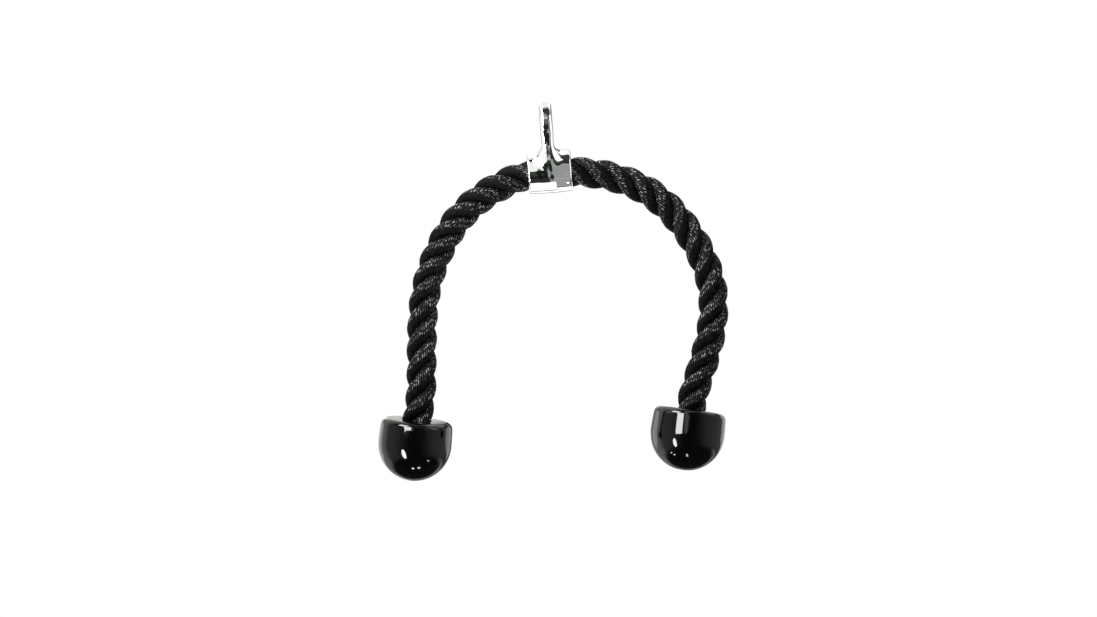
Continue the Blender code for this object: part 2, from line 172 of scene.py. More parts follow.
class NodeSheet:
    """Short ways to add and join the nodes of one tree."""

    def __init__(self, tree: bpy.types.NodeTree) -> None:
        """Takes the tree that the nodes go into."""
        self.tree = tree

    def add(self, kind: str, inputs: dict | None = None, **settings: Any) -> bpy.types.Node:
        """Adds a node, with its settings and its inputs.

        Args:
            kind: The node's type.
            inputs: A value or an output socket for each input's name or number.
            settings: The node's own properties.

        Returns:
            The new node.
        """
        node = self.tree.nodes.new(kind)
        for name, value in settings.items():
            setattr(node, name, value)
        for name, value in (inputs or {}).items():
            self.feed(node.inputs[name], value)
        return node

    def feed(self, socket: bpy.types.NodeSocket, value: Any) -> None:
        """Links an output to the input socket, or writes a plain value on it.

        Args:
            socket: The input socket.
            value: An output socket or a plain value.
        """
        if isinstance(value, bpy.types.NodeSocket):
            self.tree.links.new(value, socket)
        else:
            socket.default_value = value

    def calc(self, operation: str, *values: Any, clamp: bool = False) -> bpy.types.NodeSocket:
        """The output of a Math node on these values.

        Args:
            operation: What the node does.
            values: Its inputs, in their order.
            clamp: Whether the result is kept from 0 to 1.

        Returns:
            The output socket.
        """
        node = self.add("ShaderNodeMath", operation=operation, use_clamp=clamp)
        for socket, value in zip(node.inputs, values):
            self.feed(socket, value)
        return node.outputs[0]

    def remap(
        self, value: Any, low: float, high: float, to_low: float = 0.0, to_high: float = 1.0
    ) -> Any:
        """The value carried smoothly from one range to another.

        Args:
            value: The socket to read.
            low: The value that becomes to_low.
            high: The value that becomes to_high.
            to_low: The result at low.
            to_high: The result at high.

        Returns:
            The output socket.
        """
        ranges = {"Value": value, "From Min": low, "From Max": high}
        ranges |= {"To Min": to_low, "To Max": to_high}
        node = self.add("ShaderNodeMapRange", ranges, interpolation_type="SMOOTHSTEP")
        return node.outputs["Result"]

    def noise(self, vector: Any, scale: float, detail: float = 2.0, roughness: float = 0.5) -> Any:
        """The grey value of a noise, from 0 to 1 about a half."""
        inputs = {"Vector": vector, "Scale": scale, "Detail": detail, "Roughness": roughness}
        return self.add("ShaderNodeTexNoise", inputs).outputs["Fac"]

    def objects_own(self) -> bpy.types.NodeSocket:
        """The place on the object, in its own metres."""
        return self.add("ShaderNodeTexCoord").outputs["Object"]

    def xyz(self, vector: Any) -> list[bpy.types.NodeSocket]:
        """The three parts of a vector."""
        return list(self.add("ShaderNodeSeparateXYZ", {"Vector": vector}).outputs)

    def vector(self, x: Any, y: Any, z: Any) -> bpy.types.NodeSocket:
        """A vector from its three parts."""
        return self.add("ShaderNodeCombineXYZ", {"X": x, "Y": y, "Z": z}).outputs["Vector"]

    def mix(self, share: Any, first: Any, second: Any) -> Any:
        """A colour between two others.

        Args:
            share: How far it goes from the first to the second.
            first: The colour at share 0.
            second: The colour at share 1.

        Returns:
            The output socket.
        """
        node = self.add("ShaderNodeMix", data_type="RGBA", clamp_factor=True)
        for number, value in ((0, share), (6, first), (7, second)):
            self.feed(node.inputs[number], value)
        return node.outputs[2]

    def bump(self, height: Any, distance: float, strength: float = 1.0, normal: Any = None) -> Any:
        """A normal tilted by a height.

        Args:
            height: The height, as a share of distance.
            distance: How far a height of 1 stands up, in metres.
            strength: How much of the tilt is used.
            normal: A normal to start from, or nothing for the surface's own.

        Returns:
            The output socket.
        """
        inputs = {"Height": height, "Distance": distance, "Strength": strength}
        if normal is not None:
            inputs["Normal"] = normal
        return self.add("ShaderNodeBump", inputs).outputs["Normal"]


def rgba(colour: Colour) -> tuple[float, float, float, float]:
    """The colour with full alpha."""
    return (*colour, 1.0)


def new_material(name: str) -> tuple[bpy.types.Material, NodeSheet, bpy.types.Node]:
    """A new material with one Principled BSDF.

    Args:
        name: The material's name.

    Returns:
        The material, its node sheet and its shader.
    """
    material = bpy.data.materials.new(name)
    material.use_nodes = True
    return material, NodeSheet(material.node_tree), material.node_tree.nodes["Principled BSDF"]


class NodeGroups:
    """The effects that several finishes share, each built once."""

    def __init__(self) -> None:
        """Builds the groups."""
        self.scuffs = self._scuffs()
        self.dust = self._dust()

    @staticmethod
    def _open(name: str, inputs: dict[str, str], outputs: dict[str, str]) -> tuple:
        """Starts a group.

        Args:
            name: The group's name.
            inputs: The kind of each input socket by its name.
            outputs: The kind of each output socket by its name.

        Returns:
            The group's sheet, its tree, its inputs and its end node.
        """
        tree = bpy.data.node_groups.new(name, "ShaderNodeTree")
        for socket, kind in inputs.items():
            tree.interface.new_socket(socket, in_out="INPUT", socket_type=kind)
        for socket, kind in outputs.items():
            tree.interface.new_socket(socket, in_out="OUTPUT", socket_type=kind)
        sheet = NodeSheet(tree)
        return sheet, tree, sheet.add("NodeGroupInput").outputs, sheet.add("NodeGroupOutput")

    def _scuffs(self) -> bpy.types.NodeTree:
        """Fine crossing hairlines and small rubbed patches.

        Returns:
            The group.
        """
        sheet, tree, given, end = self._open(
            "fine_scuffs",
            {"Coordinate": "NodeSocketVector", "Amount": "NodeSocketFloat"},
            {"Mask": "NodeSocketFloat", "Height": "NodeSocketFloat"},
        )
        lines = []
        thin = 14.0
        directions = (((0.3, 0.5, 0.2), (1.0, thin, thin)), ((1.1, -0.4, 0.9), (thin, 1.0, thin)))
        for turn, squeeze in directions:
            inputs = {"Vector": given["Coordinate"], "Rotation": turn, "Scale": squeeze}
            turned = sheet.add("ShaderNodeMapping", inputs).outputs["Vector"]
            grain = sheet.noise(turned, 130.0, 3.0, 0.6)
            lines.append(sheet.remap(grain, 0.63, 0.72))
        hair = sheet.calc("MAXIMUM", *lines)
        patches = sheet.remap(sheet.noise(given["Coordinate"], 55.0, 4.0, 0.6), 0.5, 0.75)
        mask = sheet.calc("MULTIPLY_ADD", hair, 0.5, sheet.calc("MULTIPLY", patches, 0.6))
        sheet.feed(end.inputs["Mask"], sheet.calc("MULTIPLY", mask, given["Amount"], clamp=True))
        sheet.feed(end.inputs["Height"], sheet.calc("MULTIPLY", hair, given["Amount"]))
        return tree

    def _dust(self) -> bpy.types.NodeTree:
        """Fine dust that lies on what faces up, thicker in small patches.

        Returns:
            The group.
        """
        sheet, tree, given, end = self._open(
            "settled_dust",
            {"Coordinate": "NodeSocketVector", "Amount": "NodeSocketFloat"},
            {"Mask": "NodeSocketFloat"},
        )
        up = sheet.xyz(sheet.add("ShaderNodeNewGeometry").outputs["Normal"])[2]
        specks = sheet.remap(sheet.noise(given["Coordinate"], 900.0, 2.0), 0.58, 0.74)
        haze = sheet.remap(sheet.noise(given["Coordinate"], 60.0, 3.0), 0.35, 0.8)
        lying = sheet.remap(up, -0.2, 0.9)
        cover = sheet.calc("MULTIPLY", sheet.calc("ADD", haze, specks), lying)
        sheet.feed(end.inputs["Mask"], sheet.calc("MULTIPLY", cover, given["Amount"], clamp=True))
        return tree

    @staticmethod
    def place(sheet: NodeSheet, group: bpy.types.NodeTree, where: Any, amount: float) -> Any:
        """Puts a group into a material.

        Args:
            sheet: The material's node sheet.
            group: The group.
            where: The coordinate that its pattern lies in.
            amount: How strong the effect is, from 0 to 1.

        Returns:
            The group's outputs.
        """
        inputs = {"Coordinate": where, "Amount": amount}
        node = sheet.add("ShaderNodeGroup", node_tree=group)
        for name, value in inputs.items():
            sheet.feed(node.inputs[name], value)
        return node.outputs


@dataclass(frozen=True)
class ChromePlate:
    """Polished chrome on a casting: a mirror with a ripple, hairlines and a trace of haze."""

    colour: Colour = (0.90, 0.91, 0.915)
    haze: Colour = (0.74, 0.75, 0.75)
    roughness: float = 0.03
    worn_roughness: float = 0.14
    wear: float = 0.55
    ripple_scale: float = 420.0
    ripple: float = 0.00001
    hairline: float = 0.000002

    def build(self, groups: NodeGroups) -> bpy.types.Material:
        """Makes the material.

        Args:
            groups: The shared node groups.

        Returns:
            The material.
        """
        material, sheet, shader = new_material("chrome_plate")
        place = sheet.objects_own()
        scuffs = groups.place(sheet, groups.scuffs, place, self.wear)
        colour = sheet.mix(scuffs["Mask"], rgba(self.colour), rgba(self.haze))
        sheet.feed(shader.inputs["Base Color"], colour)
        roughness = sheet.remap(scuffs["Mask"], 0.0, 1.0, self.roughness, self.worn_roughness)
        sheet.feed(shader.inputs["Roughness"], roughness)
        shader.inputs["Metallic"].default_value = 1.0
        ripple = sheet.bump(sheet.noise(place, self.ripple_scale, 2.0, 0.45), self.ripple)
        normal = sheet.bump(scuffs["Height"], self.hairline, normal=ripple)
        sheet.feed(shader.inputs["Normal"], normal)
        return material


@dataclass(frozen=True)
class GlossMould:
    """Glossy black moulding: deep colour, a smooth skin with faint flow, hairlines and dust."""

    colour: Colour = (0.0018, 0.0022, 0.0019)
    dust: Colour = (0.12, 0.12, 0.115)
    roughness: float = 0.06
    worn_roughness: float = 0.34
    index: float = 1.52
    wear: float = 0.45
    dustiness: float = 0.035
    flow_scale: float = 75.0
    flow: float = 0.00006
    hairline: float = 0.000003

    def build(self, groups: NodeGroups) -> bpy.types.Material:
        """Makes the material.

        Args:
            groups: The shared node groups.

        Returns:
            The material.
        """
        material, sheet, shader = new_material("gloss_mould")
        place = sheet.objects_own()
        scuffs = groups.place(sheet, groups.scuffs, place, self.wear)
        dust = groups.place(sheet, groups.dust, place, self.dustiness)
        colour = sheet.mix(dust["Mask"], rgba(self.colour), rgba(self.dust))
        sheet.feed(shader.inputs["Base Color"], colour)
        worn = sheet.calc("ADD", scuffs["Mask"], dust["Mask"], clamp=True)
        roughness = sheet.remap(worn, 0.0, 1.0, self.roughness, self.worn_roughness)
        sheet.feed(shader.inputs["Roughness"], roughness)
        shader.inputs["IOR"].default_value = self.index
        flow = sheet.bump(sheet.noise(place, self.flow_scale, 2.0, 0.4), self.flow)
        normal = sheet.bump(scuffs["Height"], self.hairline, normal=flow)
        sheet.feed(shader.inputs["Normal"], normal)
        return material


@dataclass(frozen=True)
class BlackOxide:
    """Oiled black oxide on the grub screws, worn to grey steel in scuffs and patches."""

    colour: Colour = (0.035, 0.035, 0.038)
    steel: Colour = (0.32, 0.31, 0.30)
    roughness: tuple[float, float] = (0.42, 0.25)
    grain_scale: float = 2600.0
    grain: float = 0.00001

    def build(self, groups: NodeGroups) -> bpy.types.Material:
        """Makes the material.

        Args:
            groups: The shared node groups.

        Returns:
            The material.
        """
        material, sheet, shader = new_material("black_oxide")
        place = sheet.objects_own()
        worn = groups.place(sheet, groups.scuffs, place, 1.0)["Mask"]
        colour = sheet.mix(worn, rgba(self.colour), rgba(self.steel))
        sheet.feed(shader.inputs["Base Color"], colour)
        sheet.feed(shader.inputs["Roughness"], sheet.remap(worn, 0.0, 1.0, *self.roughness))
        shader.inputs["Metallic"].default_value = 0.9
        grain = sheet.bump(sheet.noise(place, self.grain_scale, 2.0), self.grain)
        sheet.feed(shader.inputs["Normal"], grain)
        return material


@dataclass(frozen=True)
class ZincSteel:
    """Bright zinc on the ferrules, with the dull spangle of the plating."""

    colour: Colour = (0.60, 0.60, 0.57)
    dull: Colour = (0.42, 0.43, 0.43)
    roughness: tuple[float, float] = (0.34, 0.5)
    wear: float = 0.8
    spangle_scale: float = 420.0
    spangle: float = 0.00001

    def build(self, groups: NodeGroups) -> bpy.types.Material:
        """Makes the material.

        Args:
            groups: The shared node groups.

        Returns:
            The material.
        """
        material, sheet, shader = new_material("zinc_steel")
        place = sheet.objects_own()
        worn = groups.place(sheet, groups.scuffs, place, self.wear)["Mask"]
        spangle = sheet.noise(place, self.spangle_scale, 4.0, 0.6)
        colour = sheet.mix(spangle, rgba(self.colour), rgba(self.dull))
        sheet.feed(shader.inputs["Base Color"], colour)
        sheet.feed(shader.inputs["Roughness"], sheet.remap(worn, 0.0, 1.0, *self.roughness))
        shader.inputs["Metallic"].default_value = 1.0
        sheet.feed(shader.inputs["Normal"], sheet.bump(spangle, self.spangle))
        return material


@dataclass(frozen=True)
class RopeYarn:
    """Black filament yarn laid along the rope, its crests painted with pale dashes for glints."""

    yarns: int
    twist: float
    colour: Colour = (0.0006, 0.0008, 0.0006)
    # Fibre lines: real fibres, paler on the yarns' crests and the lit flank as painted highlight.
    thread: Colour = (0.046, 0.052, 0.044)
    # Pale colour of the painted glints: short dashes on the yarns' crests.
    painted_glint: Colour = (0.60, 0.60, 0.64)
    row_spacing: float = math.radians(42.0)
    # Painted highlight on each strand's flank toward the rope's middle: its centre and soft edges.
    painted_highlight_middle: float = math.radians(35.0)
    painted_highlight_band: tuple[float, float] = (math.radians(30.0), math.radians(56.0))
    strand_radius: float = 0.007
    fibre: tuple[float, float] = (0.00030, 0.0050)
    patch: tuple[float, float] = (0.011, 0.016)
    shift_rate: float = 230.0
    shift: float = 1.6
    glint_rate: float = 420.0
    relief: float = 0.00022

    def build(self) -> bpy.types.Material:
        """Makes the material, from the strands' own map: round the strand, and along the rope.

        Returns:
            The material.
        """
        material, sheet, shader = new_material("rope_yarn")
        mapped = sheet.add("ShaderNodeUVMap", uv_map="yarns").outputs["UV"]
        share, along, _ = sheet.xyz(mapped)
        turn = sheet.calc("MULTIPLY", share, math.tau)
        across = [sheet.calc(kind, turn) for kind in ("COSINE", "SINE")]

        def threads(width: float, length: float, seed: float) -> Any:
            """A coordinate whose unit is one thread across and one length along."""
            scaled = [sheet.calc("MULTIPLY", part, self.strand_radius / width) for part in across]
            return sheet.vector(*scaled, sheet.calc("MULTIPLY_ADD", along, 1.0 / length, seed))

        around = sheet.calc("MULTIPLY_ADD", along, -self.twist, turn)
        wrapped = sheet.calc("WRAP", around, math.pi, -math.pi)
        counted = sheet.calc("MULTIPLY", share, float(self.yarns))
        own = sheet.calc("MULTIPLY", sheet.calc("FLOOR", counted), 7.31)
        rib = sheet.calc("SINE", sheet.calc("MULTIPLY", sheet.calc("FRACT", counted), math.pi))

        def per_yarn(rate: float, seed: float) -> Any:
            """A slow noise along each yarn, different from its neighbours'."""
            return sheet.noise(sheet.vector(own, sheet.calc("MULTIPLY", along, rate), seed), 1.0)

        fibres = sheet.noise(threads(*self.fibre, 0.0), 1.0, 3.0, 0.6)
        shift = sheet.calc("SUBTRACT", per_yarn(self.shift_rate, 3.0), 0.5)
        moved = sheet.calc("MULTIPLY_ADD", shift, self.shift, wrapped)
        rows = sheet.calc("COSINE", sheet.calc("MULTIPLY", moved, math.tau / self.row_spacing))
        # Painted highlight on each strand's flank toward the rope's middle, where light from above
        # falls.
        aside = sheet.calc("ABSOLUTE", sheet.calc("SUBTRACT", wrapped, self.painted_highlight_middle))
        painted_highlight_band = sheet.remap(aside, self.painted_highlight_band[1], self.painted_highlight_band[0], 0.05, 1.0)
        # Painted glints: pale dashes in rows on the yarns' crests, on some yarns at random.
        beads = sheet.calc("MULTIPLY", sheet.remap(rows, -1.0, 0.9), sheet.remap(rib, 0.35, 1.0))
        lit = sheet.remap(per_yarn(self.glint_rate, 9.0), 0.38, 0.66)
        patches = sheet.noise(threads(*self.patch, 5.0), 1.0, 1.0)
        lit = sheet.calc("MULTIPLY", lit, sheet.remap(patches, 0.36, 0.58, 0.45, 1.0))
        painted_glint_mask = sheet.calc("MULTIPLY", sheet.remap(beads, 0.30, 0.72), lit)
        painted_glint_mask = sheet.calc("MULTIPLY", painted_glint_mask, sheet.remap(fibres, 0.34, 0.56, 0.45, 1.0))
        painted_glint_mask = sheet.calc("MULTIPLY", painted_glint_mask, painted_highlight_band)
        # Real fibre lines, with painted highlight: kept to yarn crests, halved off the lit flank.
        lines = sheet.calc("MULTIPLY", sheet.remap(fibres, 0.42, 0.66), sheet.remap(rib, 0.2, 0.85))
        lines = sheet.calc("MULTIPLY", lines, sheet.remap(painted_highlight_band, 0.0, 1.0, 0.5, 1.0))
        body = sheet.mix(lines, rgba(self.colour), rgba(self.thread))
        # Painted glints laid over the body colour.
        sheet.feed(shader.inputs["Base Color"], sheet.mix(painted_glint_mask, body, rgba(self.painted_glint)))
        sheet.feed(shader.inputs["Roughness"], sheet.remap(fibres, 0.3, 0.7, 0.55, 0.38))
        shader.inputs["Specular IOR Level"].default_value = 0.04
        sheet.feed(shader.inputs["Normal"], sheet.bump(fibres, self.relief, 0.9))
        return material


@dataclass(frozen=True)
class FloorPaint:
    """Pale studio floor, which the camera and the mirrors see as white but for its shadows."""

    colour: Colour = (0.86, 0.865, 0.86)
    mottle: Colour = (0.8, 0.8, 0.8)
    lift: float = 0.93

    def build(self) -> bpy.types.Material:
        """Makes the material.

        Returns:
            The material.
        """
        material, sheet, shader = new_material("studio_floor")
        mottle = sheet.remap(sheet.noise(sheet.objects_own(), 3.0, 3.0), 0.3, 0.7, 0.0, 0.03)
        pale = sheet.mix(mottle, rgba(self.colour), rgba(self.mottle))
        sheet.feed(shader.inputs["Base Color"], pale)
        shader.inputs["Roughness"].default_value = 0.9
        shader.inputs["Specular IOR Level"].default_value = 0.0
        path = sheet.add("ShaderNodeLightPath").outputs
        seen = sheet.calc("ADD", path["Is Camera Ray"], path["Is Glossy Ray"])
        seen = sheet.calc("ADD", seen, path["Is Transmission Ray"], clamp=True)
        glow = sheet.add("ShaderNodeEmission", {"Color": (1.0, 1.0, 1.0, 1.0), "Strength": 1.0})
        share = sheet.calc("MULTIPLY", seen, self.lift)
        sides = {0: share, 1: shader.outputs[0], 2: glow.outputs[0]}
        both = sheet.add("ShaderNodeMixShader", sides)
        end = material.node_tree.nodes["Material Output"]
        sheet.feed(end.inputs["Surface"], both.outputs[0])
        return material


# ---- Camera ----


@dataclass(frozen=True)
class PictureCamera:
    """The camera that sees the object as the photograph does."""

    aim: Place = (-0.0112, 0.0, -0.1833)
    distance: float = 2.2
    picture_width: float = 1.097
    sensor: float = 36.0
    roll: float = math.radians(4.2)

    def build(self) -> None:
        """Makes the camera and sets it as the scene's own."""
        data = bpy.data.cameras.new("picture_camera")
        data.sensor_fit = "HORIZONTAL"
        data.sensor_width = self.sensor
        data.lens = self.sensor * self.distance / self.picture_width
        camera = bpy.data.objects.new("picture_camera", data)
        bpy.context.scene.collection.objects.link(camera)
        upright = Matrix.Rotation(math.pi / 2, 4, "X")
        rolled = Matrix.Rotation(self.roll, 4, "Y")
        place = Matrix.Translation(Vector(self.aim) - Vector((0.0, self.distance, 0.0)))
        camera.matrix_world = place @ rolled @ upright
        bpy.context.scene.camera = camera


# ---- Rope ----


@dataclass
class RopeLine:
    """One leg of the rope: its line from the middle of the bore, and how its strands turn on it."""

    side: Side
    route: tuple[Place, ...]
    end_heading: Place
    crowns: tuple[tuple[float, float], ...]
    bore_centre: Place = (0.0, 0.0, -0.049)
    mouth: float = 0.02175
    insertion: float = 0.0323
    samples: int = 40
    fine_step: float = 0.0002
    reaches: Array = field(init=False)
    line: Array = field(init=False)
    up: Array = field(init=False)
    face: float = field(init=False)
    end: float = field(init=False)

    def __post_init__(self) -> None:
        """Lays the line and carries a crosswise direction along it without twisting."""
        out = np.array([math.copysign(1.0, self.route[0][0]), 0.0, 0.0])
        line, heading = self._spline([tuple(out * self.mouth), *self.route], out)
        line = np.vstack([np.zeros(3), line, line[-1] + heading * self.insertion])
        runs = np.r_[0.0, np.cumsum(np.linalg.norm(np.diff(line, axis=0), axis=1))]
        self.face, self.end = float(runs[-2]), float(runs[-1])
        self.reaches = np.linspace(0.0, self.end, round(self.end / self.fine_step) + 1)
        spread = [np.interp(self.reaches, runs, line[:, k]) for k in range(3)]
        self.line = np.stack(spread, axis=1) + np.array(self.bore_centre)
        headings = unit(np.gradient(self.line, axis=0))
        self.up = np.zeros_like(self.line)
        self.up[0] = (0.0, 0.0, 1.0)
        for i in range(1, len(self.line)):
            carried = self.up[i - 1] - headings[i] * (self.up[i - 1] @ headings[i])
            self.up[i] = carried / np.linalg.norm(carried)

    def _spline(self, points: list[Place], out: Array) -> tuple[Array, Array]:
        """The cubic spline through the points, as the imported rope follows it.

        Args:
            points: The mouth of the sleeve and the route, from the middle of the bore.
            out: The heading at the mouth.

        Returns:
            The points along the spline, and its last heading.
        """
        knots = np.array(points, float)
        spans = np.linalg.norm(np.diff(knots, axis=0), axis=1)
        count = len(knots)
        system, wanted = np.zeros((count, count)), np.zeros((count, 3))
        system[0, 0] = system[-1, -1] = 1.0
        wanted[0], wanted[-1] = out, unit(np.array(self.end_heading))
        for i in range(1, count - 1):
            before, after = spans[i - 1], spans[i]
            system[i, i - 1 : i + 2] = after, 2.0 * (before + after), before
            rise = after / before * (knots[i] - knots[i - 1])
            wanted[i] = 3.0 * (rise + before / after * (knots[i + 1] - knots[i]))
        slopes = np.linalg.solve(system, wanted)
        line = []
        for i, run in enumerate(spans):
            t = np.linspace(0.0, 1.0, self.samples, endpoint=i == count - 2)[:, None]
            line.append(hermite(t, knots[i], run * slopes[i], knots[i + 1], run * slopes[i + 1]))
        return np.vstack(line), unit(slopes[-1])

    def at(self, reaches: Array, values: Array) -> Array:
        """The values of the line at these reaches."""
        columns = [np.interp(reaches, self.reaches, values[:, k]) for k in range(3)]
        return np.stack(columns, axis=-1)

    def turned(self, reaches: Array) -> Array:
        """How far the lay has turned, from the crowns' counted places.

        Args:
            reaches: How far along the rope to look.

        Returns:
            The turn at each of them, in radians.
        """
        places, counts = np.array(self.crowns).T
        slopes = np.gradient(counts, places)
        index = np.clip(np.searchsorted(places, reaches) - 1, 0, len(places) - 2)
        after = index + 1
        run = places[after] - places[index]
        t = (reaches - places[index]) / run
        smooth = hermite(t, counts[index], run * slopes[index], counts[after], run * slopes[after])
        return smooth * math.tau / 3.0

    def cuts(self) -> list[float]:
        """Where the rope is parted into sections, half way between its hinges."""
        free = self.face - self.mouth
        return [0.0, *(self.mouth + free * share for share in (0.25, 0.5, 0.75)), self.end]


@dataclass
class LaidRope:
    """Three strands laid right-handed, each in sections that reach across one hinge."""

    lines: list[RopeLine]
    strands: tuple[str, ...] = ("a", "b", "c")
    sections: tuple[str, ...] = ("crown", "upper", "lower", "tail")
    bodies: tuple[str, ...] = ("top", "upper", "lower", "tail")
    strand_diameter: float = 0.0146
    centre_radius: float = 0.0079
    squeeze: float = 0.02
    squeeze_reach: float = 0.008
    yarns: int = 15
    steps_per_yarn: int = 9
    yarn_depth: float = 0.00044
    twist: float = 255.0
    ring_step: float = 0.0008
    bend_reach: float = 0.031
    seed: int = 11
    uneven: float = 0.00007
    swell: float = 0.00006
    swell_rate: float = 610.0

    def build(self, finish: bpy.types.Material) -> None:
        """Makes and places every section of every strand.

        Args:
            finish: The strands' material.
        """
        for line in self.lines:
            for number, letter in enumerate(self.strands):
                self._build_strand(line, number, letter, finish)

    def _rings(self, line: RopeLine) -> list[Array]:
        """The reaches of each section's rings. Two sections share the ring between them.

        Args:
            line: The leg.

        Returns:
            The reaches, section by section.
        """
        cuts = line.cuts()
        return [
            np.linspace(low, high, round((high - low) / self.ring_step) + 1)
            for low, high in zip(cuts, cuts[1:])
        ]

    def _centres(self, line: RopeLine, number: int, reaches: Array) -> tuple[Array, Array]:
        """A strand's own line in the rope.

        Args:
            line: The leg.
            number: The strand's number.
            reaches: How far along the rope to look.

        Returns:
            The strand's centre at each of them, and the direction out to it.
        """
        headings = unit(line.at(reaches, np.gradient(line.line, axis=0)))
        up = line.at(reaches, line.up)
        up = unit(up - headings * (up * headings).sum(-1, keepdims=True))
        side = np.cross(headings, up)
        hand = 1 if line.side is Side.LEFT else -1
        angle = line.turned(reaches) + hand * number * math.tau / 3.0
        out = up * np.cos(angle)[:, None] + side * np.sin(angle)[:, None]
        radius = self.centre_radius * self._fullness(line, reaches)
        return line.at(reaches, line.line) + out * radius[:, None], out

    def _fullness(self, line: RopeLine, reaches: Array) -> Array:
        """The rope's share of its full thickness, less where fitting and stopper squeeze it.

        Args:
            line: The leg.
            reaches: How far along the rope to look.

        Returns:
            The share at each of them.
        """
        free = smoothstep(reaches, line.mouth, line.mouth + self.squeeze_reach)
        free -= smoothstep(reaches, line.face - self.squeeze_reach, line.face)
        return 1.0 - self.squeeze * (1.0 - free)

    def _surface(self, line: RopeLine, number: int, reaches: Array) -> tuple[Array, Array]:
        """The strand's rings of points, with the ribs of its yarns, and its own line.

        Args:
            line: The leg.
            number: The strand's number.
            reaches: How far along the rope each ring lies.

        Returns:
            Points by ring and column, and the rings' centres.
        """
        centres, out = self._centres(line, number, reaches)
        tangents = unit(np.gradient(centres, reaches, axis=0))
        out = unit(out - tangents * (out * tangents).sum(-1, keepdims=True))
        across = np.cross(tangents, out)
        count = self.yarns * self.steps_per_yarn
        columns = np.arange(count) / count * math.tau
        around = columns[None, :] - self.twist * reaches[:, None]
        rib = np.sqrt(np.abs(np.sin(columns * self.yarns / 2.0)))
        chance = np.random.default_rng(self.seed + number)
        proud = chance.normal(0.0, self.uneven, self.yarns).repeat(self.steps_per_yarn)
        beat = chance.uniform(0.0, math.tau, self.yarns).repeat(self.steps_per_yarn)
        swell = self.swell * np.sin(reaches[:, None] * self.swell_rate + beat)
        radius = self.strand_diameter / 2.0 * self._fullness(line, reaches)[:, None]
        radius = radius - self.yarn_depth * (1.0 - rib) + (proud + swell) * rib
        ring = out[:, None, :] * np.cos(around)[..., None]
        ring = ring + across[:, None, :] * np.sin(around)[..., None]
        return centres[:, None, :] + ring * radius[..., None], centres

    def _build_strand(
        self, line: RopeLine, number: int, letter: str, finish: bpy.types.Material
    ) -> None:
        """Makes one strand of one leg, section by section.

        Args:
            line: The leg.
            number: The strand's number.
            letter: Its letter.
            finish: Its material.
        """
        rings = self._rings(line)
        reaches = np.concatenate([rings[0], *(ring[1:] for ring in rings[1:])])
        points, centres = self._surface(line, number, reaches)
        lengthwise = np.gradient(points, reaches, axis=0)
        crosswise = np.roll(points, -1, axis=1) - np.roll(points, 1, axis=1)
        normals = unit(np.cross(crosswise, lengthwise))
        outward = (normals * (points - centres[:, None, :])).sum()
        normals *= math.copysign(1.0, outward)
        first = 0
        bodies = ("fitting", *(f"{line.side.value}_{body}" for body in self.bodies))
        for index, ring in enumerate(rings):
            part = slice(first, first + len(ring))
            first += len(ring) - 1
            name = f"{line.side.value}_strand_{letter}_{self.sections[index]}"
            mesh = self._mesh(name, points[part], normals[part], ring)
            piece = add_piece(name, mesh, finish)
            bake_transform(piece)
            nodes = [self._node(line.side, body) for body in bodies[index : index + 2]]
            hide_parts(*nodes)

    @staticmethod
    def _node(side: Side, body: str) -> str:
        """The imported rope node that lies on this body."""
        return "rope_middle" if body == "fitting" else f"{side.value}_rope_{body.split('_')[1]}"

    def _mesh(self, name: str, points: Array, normals: Array, ring: Array) -> bpy.types.Mesh:
        """A closed tube of rings, with its yarn map and its smooth normals.

        Args:
            name: The mesh's name.
            points: Points by ring and column.
            normals: The surface's direction at each of them.
            ring: The reach of each ring.

        Returns:
            The mesh.
        """
        rows, count = points.shape[:2]
        grid = np.arange(rows * count).reshape(rows, count)
        following = np.roll(grid, -1, axis=1)
        corners = [grid[:-1], following[:-1], following[1:], grid[1:]]
        quads = np.stack(corners, axis=-1).reshape(-1, 4)
        first = points[0, 0]
        towards = np.cross(points[0, 1] - first, points[1, 0] - first) @ normals[0, 0]
        if towards < 0:
            quads = quads[:, ::-1]
        vertices = [*points.reshape(-1, 3), points[0].mean(axis=0), points[-1].mean(axis=0)]
        hub = rows * count
        caps = []
        for hub, row, flip in ((hub, grid[0], towards > 0), (hub + 1, grid[-1], towards < 0)):
            beside = np.roll(row, -1)
            pair = (beside, row) if flip else (row, beside)
            caps.append(np.stack([np.full(count, hub), *pair], axis=-1))
        mesh = bpy.data.meshes.new(name)
        faces = [*quads.tolist(), *np.vstack(caps).tolist()]
        mesh.from_pydata(np.array(vertices).tolist(), [], faces)
        self._map(mesh, quads, caps, ring, count)
        mesh.shade_smooth()
        directions = np.vstack([normals.reshape(-1, 3), np.zeros((2, 3))])
        tube = directions[np.concatenate([quads.ravel(), np.vstack(caps).ravel()])]
        tube[quads.size :] = 0.0
        mesh.normals_split_custom_set(tube.tolist())
        mesh.update()
        return mesh

